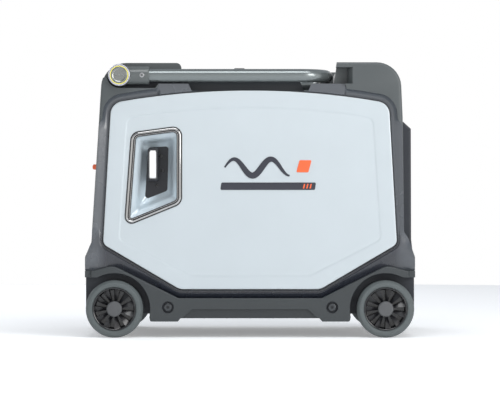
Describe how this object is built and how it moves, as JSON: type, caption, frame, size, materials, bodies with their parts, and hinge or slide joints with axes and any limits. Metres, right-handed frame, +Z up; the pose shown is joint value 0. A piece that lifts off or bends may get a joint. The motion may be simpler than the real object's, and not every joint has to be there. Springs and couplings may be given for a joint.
{
  "type": "inverter generator",
  "caption": "Closed-frame inverter generator on small wheels, with pale side panels, a recoil starter in a recess and a tow handle folded over the top.",
  "frame": {"origin": "on the ground under the middle of the machine", "axes": "+X towards the exhaust end, -X towards the control panel, -Y out of the starter side, +Z up"},
  "size_m": [0.6, 0.4, 0.5],
  "materials": {
    "shell": "fine texture",
    "panel": "satin silver paint",
    "chrome": "polished",
    "black": "fine texture",
    "tank": "blow moulded",
    "wheel_plastic": "gloss",
    "tyre": "worn matte",
    "handle": "satin powder coat",
    "orange": "gloss",
    "screen": "polished",
    "alloy": "as cast",
    "steel": "zinc plated",
    "winding": "lacquered wire",
    "rope": "braided"
  },
  "bodies": {
    "chassis": {"base_tray": "shell", "starter_side_frame": "shell", "service_side_frame": "shell", "control_end_cover": "shell", "exhaust_end_cover": "shell", "top_cover": "shell", "starter_side_panel": "panel", "service_side_panel": "panel", "recess_pocket": "panel", "recess_trim": "chrome", "badge_plate": "black", "rope_guide": "black", "control_panel": "black", "ac_outlet_1": "black", "ac_outlet_2": "black", "dc_outlet": "black", "air_cleaner": "black", "spark_plug_cap": "black", "cowling": "black", "fuel_tank": "tank", "oil_dipstick": "orange", "display": "screen", "crankcase": "alloy", "cylinder": "alloy", "valve_cover": "alloy", "carburettor": "alloy", "inverter_module": "alloy", "engine_cradle": "steel", "muffler": "steel", "exhaust_outlet": "steel", "axle_control_end": "steel", "axle_exhaust_end": "steel", "screw_control_end_starter_side": "steel", "screw_control_end_service_side": "steel", "screw_exhaust_end_starter_side": "steel", "screw_exhaust_end_service_side": "steel", "stator": "winding"},
    "tow_handle": {"handle_bow": "handle", "handle_hub_starter_side": "shell", "handle_hub_service_side": "shell"},
    "lock_starter_side": {"lock_button_starter_side": "chrome"},
    "lock_service_side": {"lock_button_service_side": "chrome"},
    "cap": {"fuel_cap": "black"},
    "vent": {"vent_knob": "black"},
    "pull_grip": {"recoil_grip": "black", "recoil_rope": "rope"},
    "pulley": {"recoil_pulley": "black"},
    "crank": {"crankshaft": "steel", "flywheel_rotor": "steel"},
    "engine_switch": {"engine_knob": "orange"},
    "eco_rocker": {"eco_switch": "black"},
    "breaker": {"breaker_button": "black"},
    "wheel_control_end_starter_side": {"tyre_control_end_starter_side": "tyre", "rim_control_end_starter_side": "wheel_plastic"},
    "wheel_control_end_service_side": {"tyre_control_end_service_side": "tyre", "rim_control_end_service_side": "wheel_plastic"},
    "wheel_exhaust_end_starter_side": {"tyre_exhaust_end_starter_side": "tyre", "rim_exhaust_end_starter_side": "wheel_plastic"},
    "wheel_exhaust_end_service_side": {"tyre_exhaust_end_service_side": "tyre", "rim_exhaust_end_service_side": "wheel_plastic"}
  },
  "joints": [
    {"name": "handle_swing", "type": "hinge", "parent": "chassis", "child": "tow_handle", "pos_m": [-0.237, 0, 0.476], "axis": [0, -1, 0], "range_deg": [0, 130]},
    {"name": "lock_starter_side_press", "type": "slide", "parent": "tow_handle", "child": "lock_starter_side", "axis": [0, 1, 0], "range_m": [0, 0.003], "stiffness_N_per_m": 500},
    {"name": "lock_service_side_press", "type": "slide", "parent": "tow_handle", "child": "lock_service_side", "axis": [0, -1, 0], "range_m": [0, 0.003], "stiffness_N_per_m": 500},
    {"name": "roll_control_end_starter_side", "type": "hinge", "parent": "chassis", "child": "wheel_control_end_starter_side", "pos_m": [-0.246, -0.178, 0.052], "axis": [0, 1, 0], "continuous": true},
    {"name": "roll_control_end_service_side", "type": "hinge", "parent": "chassis", "child": "wheel_control_end_service_side", "pos_m": [-0.246, 0.178, 0.052], "axis": [0, 1, 0], "continuous": true},
    {"name": "roll_exhaust_end_starter_side", "type": "hinge", "parent": "chassis", "child": "wheel_exhaust_end_starter_side", "pos_m": [0.246, -0.178, 0.052], "axis": [0, 1, 0], "continuous": true},
    {"name": "roll_exhaust_end_service_side", "type": "hinge", "parent": "chassis", "child": "wheel_exhaust_end_service_side", "pos_m": [0.246, 0.178, 0.052], "axis": [0, 1, 0], "continuous": true},
    {"name": "fuel_cap_lift", "type": "slide", "parent": "chassis", "child": "cap", "axis": [0, 0, 1], "range_m": [0, 0.08]},
    {"name": "vent_turn", "type": "hinge", "parent": "cap", "child": "vent", "pos_m": [-0.02, 0, 0.494], "axis": [0, 0, 1], "range_deg": [0, 90]},
    {"name": "recoil_pull", "type": "slide", "parent": "chassis", "child": "pull_grip", "axis": [0, -1, 0], "range_m": [0, 0.9], "stiffness_N_per_m": 12, "springref_m": -0.5},
    {"name": "pulley_turn", "type": "hinge", "parent": "chassis", "child": "pulley", "pos_m": [-0.177, 0, 0.262], "axis": [1, 0, 0], "range_deg": [0, 992]},
    {"name": "crank_spin", "type": "hinge", "parent": "chassis", "child": "crank", "pos_m": [-0.09, 0, 0.262], "axis": [1, 0, 0], "continuous": true},
    {"name": "engine_knob_turn", "type": "hinge", "parent": "chassis", "child": "engine_switch", "pos_m": [-0.272, -0.082, 0.311], "axis": [1, 0, 0], "range_deg": [0, 120]},
    {"name": "eco_rock", "type": "hinge", "parent": "chassis", "child": "eco_rocker", "pos_m": [-0.272, -0.024, 0.248], "axis": [0, 1, 0], "range_deg": [-8, 8]},
    {"name": "breaker_press", "type": "slide", "parent": "chassis", "child": "breaker", "axis": [1, 0, 0], "range_m": [0, 0.003], "stiffness_N_per_m": 400}
  ],
  "couplings": [
    {"joint": "pulley_turn", "follows": "recoil_pull", "rad_per_m": 19.231}
  ]
}
